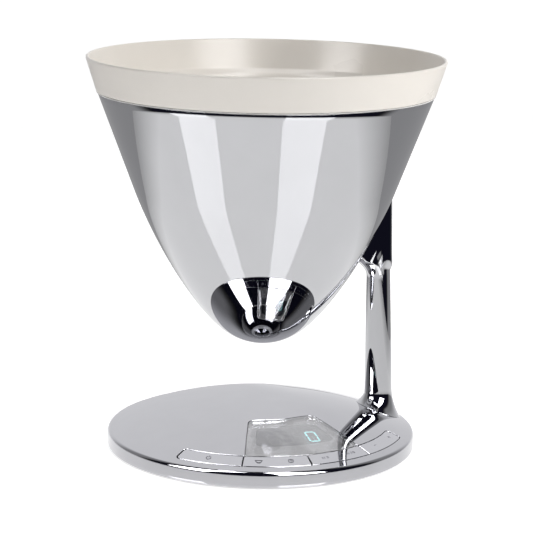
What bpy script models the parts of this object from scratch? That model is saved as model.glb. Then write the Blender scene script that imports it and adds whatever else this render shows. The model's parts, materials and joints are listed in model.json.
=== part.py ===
"""Kitchen scale: a domed chrome base with a window and four keys, a chrome stem that clasps a chrome cone,
and a cream bowl that sits in the cone. Metres, +Z up. The origin is the disc's centre on the standing plane,
and the keys face -Y. The stem stands on the +X side."""

import math

import bmesh
import bpy
from mathutils import Matrix, Vector

MM = 0.001
GAP = 0.3 * MM
# A cutter's ends, clear of the base below and above
CUT_LOW, CUT_HIGH = 0.0, 40.0 * MM

# Base cover
BASE_R = 110.0 * MM
DOME_R = 108.0 * MM
DOME_EDGE_Z = 12.0 * MM
DOME_RISE = 21.0 * MM
BAND_TOP_Z = 10.0 * MM
COVER_FOOT_Z = 1.0 * MM
COVER_WALL = 2.2 * MM
COVER_STEPS = 60

# Keys, in an arc about the disc's centre; angles are degrees from -Y, towards +X
SLOT_INNER_R = 92.2 * MM
SLOT_OUTER_R = 103.2 * MM
KEY_ANGLE = 26.9
KEY_GAP = 0.35 * MM
KEY_END_GAP = 0.25
KEY_THICK = 2.0 * MM
KEY_MIDDLE_R = 97.7 * MM
POST_R = 2.0 * MM
POST_BOTTOM_Z = 11.6 * MM
KEY_NAMES = ("key_power", "key_bowl_timer", "key_units", "key_plus_minus")

# Window and display
WINDOW_REAR_R = 44.4 * MM
WINDOW_REAR_X = 23.6 * MM
WINDOW_REAR_Y = -40.4 * MM
WINDOW_FRONT_X = 40.8 * MM
WINDOW_FRONT_R = 91.8 * MM
BEZEL_THICK = 1.2 * MM
DISPLAY_TILT = math.radians(13.2)
DISPLAY_CENTRE = Vector((0.0, -66.5 * MM, 18.2 * MM))
GLASS_SIZE = (62.0 * MM, 33.0 * MM, 1.8 * MM)
BACKLIGHT_SIZE = (58.0 * MM, 30.0 * MM, 2.0 * MM)

# Cone, bowl and ring
CONE_TIP_Z = 74.6 * MM
NOSE_R = 46.2 * MM
NOSE_ANGLE = math.radians(38.7)
NOSE_HANDLE = 25.5 * MM
WALL_HANDLE = 43.0 * MM
WALL_START_Z = 186.0 * MM
WALL_SLOPE = 0.375
CONE_TOP_Z = 253.4 * MM
CONE_TOP_R = 117.2 * MM
CONE_WALL = 1.5 * MM
BOWL_INSET = 2.3 * MM
BOWL_WALL = 2.2 * MM
RING_THICK = 0.6 * MM
RING_INNER_R = 115.5 * MM
RING_OUTER_R = 117.4 * MM
BAND_FOOT_R = 118.1 * MM
RIM_R = 125.6 * MM
RIM_Z = 278.5 * MM
BOWL_STEPS = 40

# Stem
STEM_FOOT_X = 92.0 * MM
STEM_TOP_X = 86.7 * MM
STEM_FOOT_R = 10.4 * MM
STEM_TOP_R = 8.2 * MM
STEM_TOP_Z = 200.0 * MM
STEM_LOW_Z = 10.0 * MM
STEM_SIDES = 24
FOOT_FLARE_Z = 17.4 * MM
WEB_LOW_Z = 138.0 * MM
FLARE_HEIGHT = 16.0 * MM
STEM_SCREWS = [(94.5 * MM, 0.0), (86.5 * MM, 5.0 * MM), (86.5 * MM, -5.0 * MM)]
CONE_SCREW_Z = (159.0 * MM, 169.0 * MM)
BACKING_Z = (11.0 * MM, 13.0 * MM)

# Tray and what stands on it
TRAY_Z = 1.4 * MM
TRAY_FLOOR = 1.8 * MM
TRAY_R = 107.0 * MM
TRAY_TOP_Z = 8.0 * MM
FEET_R = 86.0 * MM
FOOT_R = 7.0 * MM
CELL_X = 40.0 * MM
CELL_Y = 8.0 * MM
CELL_WIDTH = 12.7 * MM
CELL_Z = (4.6 * MM, 15.6 * MM)
PLATE_Z = (18.9 * MM, 20.9 * MM)
CELL_SCREW_X = (-36.0 * MM, -24.0 * MM)
CHASSIS_SCREWS = [(x * MM, y * MM) for x in (-41, 41) for y in (-7, 23)]
M4_R = 1.9 * MM
M4_HOLE_R = 2.3 * MM
M4_HEAD_R = 3.6 * MM
BAY_X = 25.5 * MM
BAY_Y = (32.0 * MM, 67.0 * MM)
AAA_R = 5.2 * MM
AAA_LENGTH = 44.5 * MM
DOOR_HINGE_Y = 66.0 * MM

# Electronics; a chip is given by its centre and size across, in mm
BOARD_THICK = 1.6 * MM
KEY_BOARD_Z = 6.6 * MM
MAT_Z = 8.5 * MM
MAIN_BOARD_Z = 7.4 * MM
MAIN_BOARD_HOLES = [(x * MM, y * MM) for x in (-31, 31) for y in (-38, -76)]
CHIPS = ((-18, -50, 9, 9), (-2, -66, 12, 7))
POST_ANGLES = [-1.5 * KEY_ANGLE] + [(i / 2 + 0.25) * KEY_ANGLE for i in range(-2, 4)]
DOME_PAD_R = (4.0 * MM, 2.6 * MM)

CHROME = ((0.82, 0.83, 0.85, 1.0), 1.0, 0.04)
CREAM = ((0.86, 0.82, 0.76, 1.0), 0.0, 0.35)
BLACK_PLASTIC = ((0.03, 0.03, 0.035, 1.0), 0.0, 0.5)
GREY_PLASTIC = ((0.62, 0.62, 0.64, 1.0), 0.2, 0.4)
CLEAR = ((0.9, 0.92, 0.93, 0.3), 0.0, 0.02)
RUBBER = ((0.05, 0.05, 0.05, 1.0), 0.0, 0.8)
STEEL = ((0.55, 0.56, 0.58, 1.0), 1.0, 0.35)
ALUMINIUM = ((0.75, 0.76, 0.78, 1.0), 1.0, 0.3)
GREEN_BOARD = ((0.03, 0.22, 0.10, 1.0), 0.0, 0.4)
DARK_GLASS = ((0.10, 0.12, 0.14, 1.0), 0.0, 0.1)


def clear_scene():
    for obj in list(bpy.data.objects):
        bpy.data.objects.remove(obj, do_unlink=True)


def make_collection(name):
    collection = bpy.data.collections.new(name)
    bpy.context.scene.collection.children.link(collection)
    return collection


def make_material(name, look):
    colour, metallic, roughness = look
    material = bpy.data.materials.new(name)
    material.use_nodes = True
    shader = material.node_tree.nodes["Principled BSDF"]
    shader.inputs["Base Color"].default_value = colour
    shader.inputs["Metallic"].default_value = metallic
    shader.inputs["Roughness"].default_value = roughness
    return material


clear_scene()
PARTS = make_collection("kitchen_scale")
CUTTERS = make_collection("cutters")


# ---------------------------------------------------------------- small modelling helpers

def object_from(name, bm, look=None):
    """A named object from a bmesh: a part where a look is given, else a cutter."""
    mesh = bpy.data.meshes.new(name)
    bm.to_mesh(mesh)
    bm.free()
    obj = bpy.data.objects.new(name, mesh)
    finish_object(obj, look)
    return obj


def finish_object(obj, look):
    if look is None:
        CUTTERS.objects.link(obj)
        obj.hide_render = True
        obj.display_type = "WIRE"
    else:
        PARTS.objects.link(obj)
        obj.data.materials.append(make_material(obj.name, look))


def smooth(obj, angle=35.0):
    obj.data.shade_smooth()
    obj.data.set_sharp_from_angle(angle=math.radians(angle))


def add_cylinder(bm, radius, low, high, xy=(0.0, 0.0), sides=12, turn=None):
    """A closed upright cylinder from low to high, turned by a matrix where one is given."""
    place = Matrix.Translation((xy[0], xy[1], (low + high) / 2))
    if turn is not None:
        place = turn
    bmesh.ops.create_cone(
        bm, cap_ends=True, segments=sides, radius1=radius, radius2=radius, depth=high - low, matrix=place
    )


def add_box(bm, low, high, turn=None):
    size = [b - a for a, b in zip(low, high)]
    middle = [(a + b) / 2 for a, b in zip(low, high)]
    place = Matrix.Translation(middle) if turn is None else turn
    bmesh.ops.create_cube(bm, size=1.0, matrix=place @ Matrix.Diagonal((*size, 1.0)))


def box(name, low, high, look=None):
    bm = bmesh.new()
    add_box(bm, low, high)
    return object_from(name, bm, look)


def cylinder(name, radius, low, high, xy, sides, look=None, turn=None):
    bm = bmesh.new()
    add_cylinder(bm, radius, low, high, xy, sides, turn)
    return object_from(name, bm, look)


def cut(obj, cutter, operation="DIFFERENCE"):
    modifier = obj.modifiers.new(cutter.name, "BOOLEAN")
    modifier.operation = operation
    modifier.object = cutter


def revolve(name, profile, steps, look=None):
    """A turned piece: the profile lies at +X and runs down its outer side."""
    bm = bmesh.new()
    verts = [bm.verts.new((r, 0.0, z)) for r, z in profile]
    for a, b in zip(verts, verts[1:]):
        bm.edges.new((a, b))
    if profile[0][0] > 1e-6:
        bm.edges.new((verts[-1], verts[0]))
    obj = object_from(name, bm, look)
    screw = obj.modifiers.new("turn", "SCREW")
    screw.axis = "Z"
    screw.steps = steps
    screw.render_steps = steps
    screw.use_merge_vertices = True
    screw.merge_threshold = 0.00001
    screw.use_smooth_shade = True
    return obj


def plate(name, outline, low, high, look=None, holes=()):
    """A flat plate with straight sides, from a filled 2D curve extruded by half its thickness."""
    curve = bpy.data.curves.new(name, "CURVE")
    curve.dimensions = "2D"
    curve.fill_mode = "BOTH"
    curve.extrude = (high - low) / 2
    for points in (outline, *holes):
        spline = curve.splines.new("POLY")
        spline.points.add(len(points) - 1)
        for point, (x, y) in zip(spline.points, points):
            point.co = (x, y, 0.0, 1.0)
        spline.use_cyclic_u = True
    guide = bpy.data.objects.new(name + "_outline", curve)
    bpy.context.scene.collection.objects.link(guide)
    bpy.context.view_layer.update()
    mesh = bpy.data.meshes.new_from_object(guide.evaluated_get(bpy.context.evaluated_depsgraph_get()))
    bpy.data.objects.remove(guide)
    bm = bmesh.new()
    bm.from_mesh(mesh)
    bpy.data.meshes.remove(mesh)
    bmesh.ops.remove_doubles(bm, verts=bm.verts, dist=0.00001)
    bmesh.ops.recalc_face_normals(bm, faces=bm.faces)
    bmesh.ops.translate(bm, verts=bm.verts, vec=(0.0, 0.0, (low + high) / 2))
    return object_from(name, bm, look)


def tube(name, points, radius, look):
    """A thin cable along a smooth curve through a few points."""
    curve = bpy.data.curves.new(name, "CURVE")
    curve.dimensions = "3D"
    curve.bevel_depth = radius
    curve.bevel_resolution = 1
    curve.use_fill_caps = True
    spline = curve.splines.new("POLY")
    path = smooth_path(points, 5)
    spline.points.add(len(path) - 1)
    for point, place in zip(spline.points, path):
        point.co = (*place, 1.0)
    obj = bpy.data.objects.new(name, curve)
    finish_object(obj, look)
    return obj


def smooth_path(points, steps):
    """Catmull-Rom points through the given ones."""
    knots = [Vector(p) for p in points]
    knots = [knots[0] * 2 - knots[1], *knots, knots[-1] * 2 - knots[-2]]
    path = []
    for a, b, c, d in zip(knots, knots[1:], knots[2:], knots[3:]):
        for i in range(steps):
            t = i / steps
            path.append(
                0.5 * (2 * b + (c - a) * t + (2 * a - 5 * b + 4 * c - d) * t**2 + (3 * b - 3 * c + d - a) * t**3)
            )
    return [*path, knots[-2]]


def screws(name, shank_r, head_r, tip, seat, head, places, sides=10):
    """Identical upright screws, one object each: a shank from tip to seat, joined to a head from seat to head."""
    low, high = sorted((seat, head))
    into_head = 0.5 * MM if head > seat else -0.5 * MM
    shank_low, shank_high = sorted((tip, seat + into_head))
    for number, xy in enumerate(places, 1):
        screw = cylinder(f"{name}_{number}", head_r, low, high, xy, sides, STEEL)
        cut(screw, cylinder(f"{name}_{number}_shank", shank_r, shank_low, shank_high, xy, sides), "UNION")


def ring_points(radius, xy, count=10):
    return [
        (xy[0] + radius * math.cos(math.tau * i / count), xy[1] + radius * math.sin(math.tau * i / count))
        for i in range(count)
    ]


def rectangle(x0, y0, x1, y1, radius=0.0):
    corners = [(x0, y0, radius), (x1, y0, radius), (x1, y1, radius), (x0, y1, radius)]
    return round_corners(corners, 2)


# ---------------------------------------------------------------- outlines and profiles

def polar(radius, degrees):
    angle = math.radians(degrees)
    return (radius * math.sin(angle), -radius * math.cos(angle))


def arc_points(radius, start, end, count):
    return [polar(radius, start + (end - start) * i / count) for i in range(count + 1)]


def sector(inner, outer, start, end, count):
    return arc_points(inner, start, end, count) + arc_points(outer, end, start, count)


def round_corners(corners, steps=4):
    """A closed outline through (x, y, corner radius), with an arc at each corner that has a radius."""
    outline = []
    for i, (x, y, radius) in enumerate(corners):
        here = Vector((x, y))
        if radius == 0:
            outline.append((x, y))
            continue
        before = (Vector(corners[i - 1][:2]) - here).normalized()
        after = (Vector(corners[(i + 1) % len(corners)][:2]) - here).normalized()
        half = before.angle(after) / 2
        reach = radius / math.tan(half)
        start, end = here + before * reach, here + after * reach
        centre = here + (before + after).normalized() * (radius / math.sin(half))
        first, last = start - centre, end - centre
        for k in range(steps + 1):
            spoke = first.lerp(last, k / steps).normalized() * radius
            outline.append(tuple(centre + spoke))
    return outline


def dome_z(radius, drop=0.0):
    return DOME_EDGE_Z + DOME_RISE * (1 - (radius / DOME_R) ** 2) - drop


def dome_arc(start, end, drop, count):
    return [
        (start + (end - start) * i / count, dome_z(start + (end - start) * i / count, drop))
        for i in range(count + 1)
    ]


def dome_slab(name, inner, outer, top, bottom, look, count=4):
    """A ring that follows the dome, between two depths under its surface."""
    profile = dome_arc(inner, outer, top, count) + dome_arc(outer, inner, bottom, count)
    return revolve(name, profile, COVER_STEPS, look)


def cone_outline(nose_steps=4, curve_steps=6):
    """The cone's outside from its tip up: a round nose, a curve, then a straight wall. Points and normals."""
    wall = Vector((WALL_SLOPE, 1.0)).normalized()
    line = []
    for i in range(nose_steps + 1):
        angle = NOSE_ANGLE * i / nose_steps
        point = Vector((NOSE_R * math.sin(angle), CONE_TIP_Z + NOSE_R * (1 - math.cos(angle))))
        line.append((point, Vector((math.cos(angle), math.sin(angle)))))
    start, lead = line[-1]
    end = Vector((CONE_TOP_R - WALL_SLOPE * (CONE_TOP_Z - WALL_START_Z), WALL_START_Z))
    p1, p2 = start + lead * NOSE_HANDLE, end - wall * WALL_HANDLE
    for i in range(1, curve_steps + 1):
        t = i / curve_steps
        s = 1 - t
        point = s**3 * start + 3 * s * s * t * p1 + 3 * s * t * t * p2 + t**3 * end
        along = s * s * (p1 - start) + 2 * s * t * (p2 - p1) + t * t * (end - p2)
        line.append((point, along.normalized()))
    line.append((Vector((CONE_TOP_R, CONE_TOP_Z)), wall))
    return line


def cone_offset(inset):
    """The cone's outline moved inwards by inset, from the top down to the axis."""
    points = []
    for point, along in reversed(cone_outline()):
        normal = Vector((along.y, -along.x))
        moved = point - normal * inset
        points.append((max(moved.x, 0.0), moved.y))
    points[-1] = (0.0, CONE_TIP_Z + inset)
    return points


def at_height(points, z):
    """The profile from the top down, starting where it crosses height z."""
    for i, ((r0, z0), (r1, z1)) in enumerate(zip(points, points[1:])):
        if z0 >= z > z1:
            t = (z - z0) / (z1 - z0)
            return [(r0 + (r1 - r0) * t, z), *points[i + 1:]]
    wall_r = points[0][0] + WALL_SLOPE * (z - points[0][1])
    return [(wall_r, z), *points[1:]]


# ---------------------------------------------------------------- base cover, keys and display

def window_outline(grow):
    """The window seen from above: an arc at the keys, slanted sides, and a hollowed rear edge."""
    front = [(x, y, 0.0) for x, y in arc_points(WINDOW_FRONT_R + grow, -26.0, 26.0, 12)]
    front[0] = (-WINDOW_FRONT_X - grow, front[0][1] - 0.3 * grow, 0.0)
    front[-1] = (WINDOW_FRONT_X + grow, front[-1][1] - 0.3 * grow, 0.0)
    rear = [(x, y, 0.0) for x, y in arc_points(WINDOW_REAR_R - grow, 17.0, -17.0, 3)]
    right = (WINDOW_REAR_X + grow, WINDOW_REAR_Y + grow, 5.0 * MM)
    left = (-WINDOW_REAR_X - grow, WINDOW_REAR_Y + grow, 5.0 * MM)
    return round_corners([*front, right, *rear, left])


def display_opening():
    front = [(x, y, 0.0) for x, y in arc_points(81.8 * MM, -19.0, 19.0, 6)]
    sides = [
        (29.0 * MM, -74.5 * MM, 3.0 * MM), (21.7 * MM, -53.0 * MM, 4.0 * MM),
        (-21.7 * MM, -53.0 * MM, 4.0 * MM), (-29.0 * MM, -74.5 * MM, 3.0 * MM),
    ]
    return round_corners([*front, *sides], steps=3)


def cover_profile():
    """The dome, its rounded shoulder and the side band outside, then the same wall inside."""
    shoulder = BASE_R - DOME_R
    outer = dome_arc(0.0, DOME_R, 0.0, 7)
    outer += [
        (DOME_R + shoulder * math.sin(a), BAND_TOP_Z + shoulder * math.cos(a))
        for a in (math.radians(30), math.radians(60), math.radians(90))
    ]
    inside_r = BASE_R - COVER_WALL
    inner = [(BASE_R, COVER_FOOT_Z), (inside_r, COVER_FOOT_Z), (inside_r, dome_z(inside_r, COVER_WALL))]
    return outer + inner + dome_arc(104.0 * MM, 0.0, COVER_WALL, 5)


def build_cover():
    cover = revolve("base_cover", cover_profile(), COVER_STEPS, CHROME)
    cut(cover, plate("window_cutter", window_outline(KEY_GAP), CUT_LOW, CUT_HIGH))
    edge = 2 * KEY_ANGLE + KEY_END_GAP
    slot = plate("slot_cutter", sector(SLOT_INNER_R - GAP, SLOT_OUTER_R, -edge, edge, 24), CUT_LOW, CUT_HIGH)
    cut(cover, slot)
    bosses = bmesh.new()
    for x, y in CHASSIS_SCREWS:
        add_cylinder(bosses, 3.4 * MM, PLATE_Z[1] + GAP, dome_z(math.hypot(x, y), 0.8 * MM), (x, y), 12)
    cut(cover, object_from("boss_joiner", bosses), "UNION")
    holes = bmesh.new()
    for x, y in STEM_SCREWS:
        add_cylinder(holes, M4_HOLE_R, CUT_LOW, CUT_HIGH, (x, y), 10)
    for x, y in CHASSIS_SCREWS:
        add_cylinder(holes, 1.6 * MM, 16.0 * MM, dome_z(math.hypot(x, y), 1.4 * MM), (x, y), 8)
    cut(cover, object_from("cover_holes", holes))


def key_outline(start, end):
    """One key seen from above, with its ends drawn in by half the gap between keys."""
    inner, outer = SLOT_INNER_R + KEY_GAP, SLOT_OUTER_R - KEY_GAP
    turn = math.degrees(KEY_GAP / inner)
    return sector(inner, outer, start + turn, end - turn, 6)


def build_key(name, index):
    start = (index - 2) * KEY_ANGLE
    middle = start + KEY_ANGLE / 2
    key = dome_slab(name, 86.0 * MM, 106.0 * MM, 0.0, KEY_THICK, CHROME, 5)
    cut(key, plate(name + "_outline", key_outline(start, start + KEY_ANGLE), CUT_LOW, CUT_HIGH), "INTERSECT")
    turns = (middle,) if index == 0 else (middle - KEY_ANGLE / 4, middle + KEY_ANGLE / 4)
    posts = bmesh.new()
    for turn in turns:
        xy = polar(KEY_MIDDLE_R, turn)
        add_cylinder(posts, POST_R, POST_BOTTOM_Z, dome_z(KEY_MIDDLE_R, KEY_THICK / 2), xy, 8)
    cut(key, object_from(name + "_posts", posts), "UNION")
    return key


def build_keys():
    for index, name in enumerate(KEY_NAMES):
        build_key(name, index)


def build_window():
    window = dome_slab("display_window", 38.0 * MM, 94.0 * MM, 0.0, COVER_WALL, CLEAR, 6)
    cut(window, plate("window_outline", window_outline(0.0), CUT_LOW, CUT_HIGH), "INTERSECT")
    top = COVER_WALL + GAP
    bezel = dome_slab("display_bezel", 36.0 * MM, 91.2 * MM, top, top + BEZEL_THICK, GREY_PLASTIC, 6)
    cut(bezel, plate("bezel_outline", window_outline(2.5 * MM), CUT_LOW, CUT_HIGH), "INTERSECT")
    cut(bezel, plate("bezel_opening", display_opening(), CUT_LOW, CUT_HIGH))


def tilted(drop, size):
    """Places a flat block at a depth under the display's centre, tilted with the dome."""
    turn = Matrix.Rotation(DISPLAY_TILT, 4, "X")
    return Matrix.Translation(DISPLAY_CENTRE) @ turn @ Matrix.Translation((0.0, 0.0, -drop - size[2] / 2))


def build_display():
    for name, size, drop, look in (
        ("display_glass", GLASS_SIZE, 0.0, DARK_GLASS),
        ("display_backlight", BACKLIGHT_SIZE, GLASS_SIZE[2] + GAP, GREY_PLASTIC),
    ):
        bm = bmesh.new()
        half = [s / 2 for s in size]
        add_box(bm, [-h for h in half], half, tilted(drop, size))
        obj = object_from(name, bm, look)
        bevel = obj.modifiers.new("edges", "BEVEL")
        bevel.width = 0.3 * MM
        bevel.segments = 1


# ---------------------------------------------------------------- electronics

def build_boards():
    holes = [ring_points(1.4 * MM, xy) for xy in MAIN_BOARD_HOLES]
    outline = rectangle(-34 * MM, -79.5 * MM, 34 * MM, -35 * MM, 1.0 * MM)
    plate("main_board", outline, MAIN_BOARD_Z, MAIN_BOARD_Z + BOARD_THICK, GREEN_BOARD, holes)
    arc = sector(88.6 * MM, 103.4 * MM, -57.0, 57.0, 20)
    plate("key_board", arc, KEY_BOARD_Z, KEY_BOARD_Z + BOARD_THICK, GREEN_BOARD)
    for number, (x, y, width, depth) in enumerate(CHIPS, 1):
        low = ((x - width / 2) * MM, (y - depth / 2) * MM, MAIN_BOARD_Z - 1.5 * MM)
        high = ((x + width / 2) * MM, (y + depth / 2) * MM, MAIN_BOARD_Z - GAP)
        box(f"board_chip_{number}", low, high, BLACK_PLASTIC)
    cylinder("buzzer", 4.5 * MM, 4.2 * MM, MAIN_BOARD_Z - GAP, (25 * MM, -57 * MM), 16, BLACK_PLASTIC)
    screws("board_screw", 1.1 * MM, 2.2 * MM, MAIN_BOARD_Z + 3.2 * MM, MAIN_BOARD_Z - GAP,
           MAIN_BOARD_Z - 1.7 * MM, MAIN_BOARD_HOLES, 8)


def build_key_mat():
    mat = plate("key_mat", sector(89.2 * MM, 102.8 * MM, -56.0, 56.0, 20), MAT_Z, MAT_Z + 0.8 * MM, RUBBER)
    domes = bmesh.new()
    for turn in POST_ANGLES:
        place = Matrix.Translation((*polar(KEY_MIDDLE_R, turn), MAT_Z + 1.1 * MM))
        bmesh.ops.create_cone(domes, cap_ends=True, segments=12, radius1=DOME_PAD_R[0], radius2=DOME_PAD_R[1],
                              depth=1.6 * MM, matrix=place)
    cut(mat, object_from("key_mat_domes", domes), "UNION")


# ---------------------------------------------------------------- cone, ring and bowl

def build_cone():
    outer, inner = cone_offset(0.0), cone_offset(CONE_WALL)
    inner = at_height(inner, CONE_TOP_Z)
    profile = list(reversed(inner)) + outer
    cone = revolve("cone", profile, BOWL_STEPS, CHROME)
    holes = bmesh.new()
    for z in CONE_SCREW_Z:
        add_cylinder(holes, M4_HOLE_R, 0.0, 30.0 * MM, sides=10, turn=cone_screw_place(z, 0.0))
    cut(cone, object_from("cone_holes", holes))


def build_ring_and_bowl():
    ring_z = CONE_TOP_Z + GAP
    revolve("seat_ring", [(RING_INNER_R, ring_z + RING_THICK), (RING_OUTER_R, ring_z + RING_THICK),
                          (RING_OUTER_R, ring_z), (RING_INNER_R, ring_z)], BOWL_STEPS, RUBBER)
    band_z = ring_z + RING_THICK + GAP
    outer = at_height(cone_offset(BOWL_INSET), band_z)
    inner = at_height(cone_offset(BOWL_INSET + BOWL_WALL), band_z)
    lip_r = RIM_R - 1.6 * MM
    band = [(lip_r - 1.2 * MM, RIM_Z - 0.7 * MM), (lip_r, RIM_Z), (RIM_R - 0.5 * MM, RIM_Z - 0.2 * MM),
            (RIM_R, RIM_Z - 1.2 * MM), (BAND_FOOT_R + 0.3 * MM, band_z + 0.4 * MM), (BAND_FOOT_R, band_z)]
    profile = list(reversed(inner)) + band + outer
    revolve("bowl", profile, BOWL_STEPS, CREAM)


# ---------------------------------------------------------------- stem

def stem_section(z):
    """Centre x and half sizes of the stem's section at height z: a flared foot, then a taper, then a web."""
    t = (z - STEM_LOW_Z) / (STEM_TOP_Z - STEM_LOW_Z)
    centre = STEM_FOOT_X + (STEM_TOP_X - STEM_FOOT_X) * t
    radius = STEM_FOOT_R + (STEM_TOP_R - STEM_FOOT_R) * min(t * 1.5, 1.0)
    inner, outer, side = centre - radius, centre + radius, radius
    foot = max(0.0, 1 - (z - FOOT_FLARE_Z) / FLARE_HEIGHT)
    inner -= 15.0 * MM * foot**2.6
    side += 11.0 * MM * foot**2.6
    outer += 2.5 * MM * foot**2
    web = min(1.0, max(0.0, (z - WEB_LOW_Z) / FLARE_HEIGHT))
    inner -= 9.0 * MM * web**2
    side += 1.5 * MM * web**2
    return (inner + outer) / 2, (outer - inner) / 2, side


def build_stem():
    heights = [STEM_LOW_Z, 14 * MM, 17 * MM, 19 * MM, 21 * MM, 24 * MM, 28 * MM, 34 * MM, 60 * MM, 100 * MM,
               138 * MM, 143 * MM, 148 * MM, 154 * MM, 175 * MM, STEM_TOP_Z]
    bm = bmesh.new()
    rings = []
    for z in heights:
        centre, half_x, half_y = stem_section(z)
        ring = []
        for i in range(STEM_SIDES):
            angle = math.tau * i / STEM_SIDES
            ring.append(bm.verts.new((centre + half_x * math.cos(angle), half_y * math.sin(angle), z)))
        rings.append(ring)
    for low, high in zip(rings, rings[1:]):
        for i in range(STEM_SIDES):
            j = (i + 1) % STEM_SIDES
            bm.faces.new((low[i], low[j], high[j], high[i]))
    bm.faces.new(list(reversed(rings[0])))
    bm.faces.new(rings[-1])
    stem = object_from("stem", bm, CHROME)
    smooth(stem)
    base = [(0.0, dome_z(0.0, -GAP)), *dome_arc(0.0, DOME_R, -GAP, 9)[1:], (125.0 * MM, DOME_EDGE_Z),
            (125.0 * MM, -10.0 * MM), (0.0, -10.0 * MM)]
    cut(stem, revolve("dome_cutter", base, COVER_STEPS))
    above = (0.0, 240.0 * MM)
    cone = [above, *at_height(cone_offset(-GAP), 240.0 * MM)]
    cut(stem, revolve("cone_cutter", cone, BOWL_STEPS))
    holes = bmesh.new()
    for x, y in STEM_SCREWS:
        add_cylinder(holes, M4_HOLE_R, 0.0, 25.0 * MM, (x, y), 10)
    for z in CONE_SCREW_Z:
        add_cylinder(holes, M4_HOLE_R, 0.0, 30.0 * MM, sides=10, turn=cone_screw_place(z, 0.0))
    cut(stem, object_from("stem_holes", holes))


def cone_screw_place(z, shift):
    """A frame on the cone's wall at height z, with its own Z along the wall's outward normal."""
    line = cone_outline()
    for (low, _), (high, along) in zip(line, line[1:]):
        if low.y <= z <= high.y:
            radius = low.x + (high.x - low.x) * (z - low.y) / (high.y - low.y)
            normal = Vector((along.y, 0.0, -along.x))
    turn = normal.to_track_quat("Z", "Y").to_matrix().to_4x4()
    return Matrix.Translation(Vector((radius, 0.0, z)) + normal * shift) @ turn


def build_stem_fasteners():
    outline = rectangle(78.0 * MM, -13.0 * MM, 98.0 * MM, 13.0 * MM, 3.0 * MM)
    holes = [ring_points(M4_HOLE_R, xy) for xy in STEM_SCREWS]
    low, high = BACKING_Z
    plate("stem_backing_plate", outline, low, high, STEEL, holes)
    screws("stem_screw", M4_R, M4_HEAD_R, 24.0 * MM, low - GAP, low - 2.6 * MM, STEM_SCREWS)
    length = 7.0 * MM
    for number, z in enumerate(CONE_SCREW_Z, 1):
        cylinder(f"cone_screw_{number}", M4_R, 0.0, length, (0.0, 0.0), 10, STEEL,
                 cone_screw_place(z, length / 2 - 1.0 * MM))


# ---------------------------------------------------------------- tray, load cell and battery

def tray_profile():
    top = TRAY_Z + TRAY_FLOOR
    return [(0.0, top), (TRAY_R - 2.0 * MM, top), (TRAY_R - 2.0 * MM, TRAY_TOP_Z), (TRAY_R, TRAY_TOP_Z),
            (TRAY_R, TRAY_Z + 0.8 * MM), (TRAY_R - 0.8 * MM, TRAY_Z), (0.0, TRAY_Z)]


def build_tray():
    tray = revolve("bottom_tray", tray_profile(), COVER_STEPS, BLACK_PLASTIC)
    cut(tray, box("door_opening", (-BAY_X + 1.5 * MM, BAY_Y[0] + 1.5 * MM, -1 * MM),
                  (BAY_X - 1.5 * MM, BAY_Y[1] - 0.5 * MM, 6 * MM)))
    holes = bmesh.new()
    for x in CELL_SCREW_X:
        add_cylinder(holes, M4_HOLE_R, -1 * MM, 6 * MM, (x, CELL_Y), 10)
    cut(tray, object_from("tray_holes", holes))
    for number, turn in enumerate((45, 135, 225, 315), 1):
        foot = bmesh.new()
        place = Matrix.Translation((*polar(FEET_R, turn), (TRAY_Z - GAP) / 2))
        bmesh.ops.create_cone(foot, cap_ends=True, segments=16, radius1=FOOT_R - 0.5 * MM, radius2=FOOT_R,
                              depth=TRAY_Z - GAP, matrix=place)
        object_from(f"rubber_foot_{number}", foot, RUBBER)


def build_load_cell():
    half = CELL_WIDTH / 2
    cell = box("load_cell", (-CELL_X, CELL_Y - half, CELL_Z[0]), (CELL_X, CELL_Y + half, CELL_Z[1]), ALUMINIUM)
    window = bmesh.new()
    middle = (CELL_Z[0] + CELL_Z[1]) / 2
    for x in (-7 * MM, 7 * MM):
        turn = Matrix.Translation((x, CELL_Y, middle)) @ Matrix.Rotation(math.pi / 2, 4, "X")
        add_cylinder(window, 4.2 * MM, 0.0, 3 * CELL_WIDTH, sides=16, turn=turn)
    cut(cell, object_from("cell_bores", window))
    cut(cell, box("cell_slot", (-7 * MM, CELL_Y - CELL_WIDTH, middle - 1.5 * MM),
                  (7 * MM, CELL_Y + CELL_WIDTH, middle + 1.5 * MM)))
    holes = bmesh.new()
    for x in CELL_SCREW_X:
        add_cylinder(holes, M4_HOLE_R, 0.0, 11.0 * MM, (x, CELL_Y), 10)
        add_cylinder(holes, M4_HOLE_R, 9.0 * MM, 30.0 * MM, (-x, CELL_Y), 10)
    cut(cell, object_from("cell_holes", holes))


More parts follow.
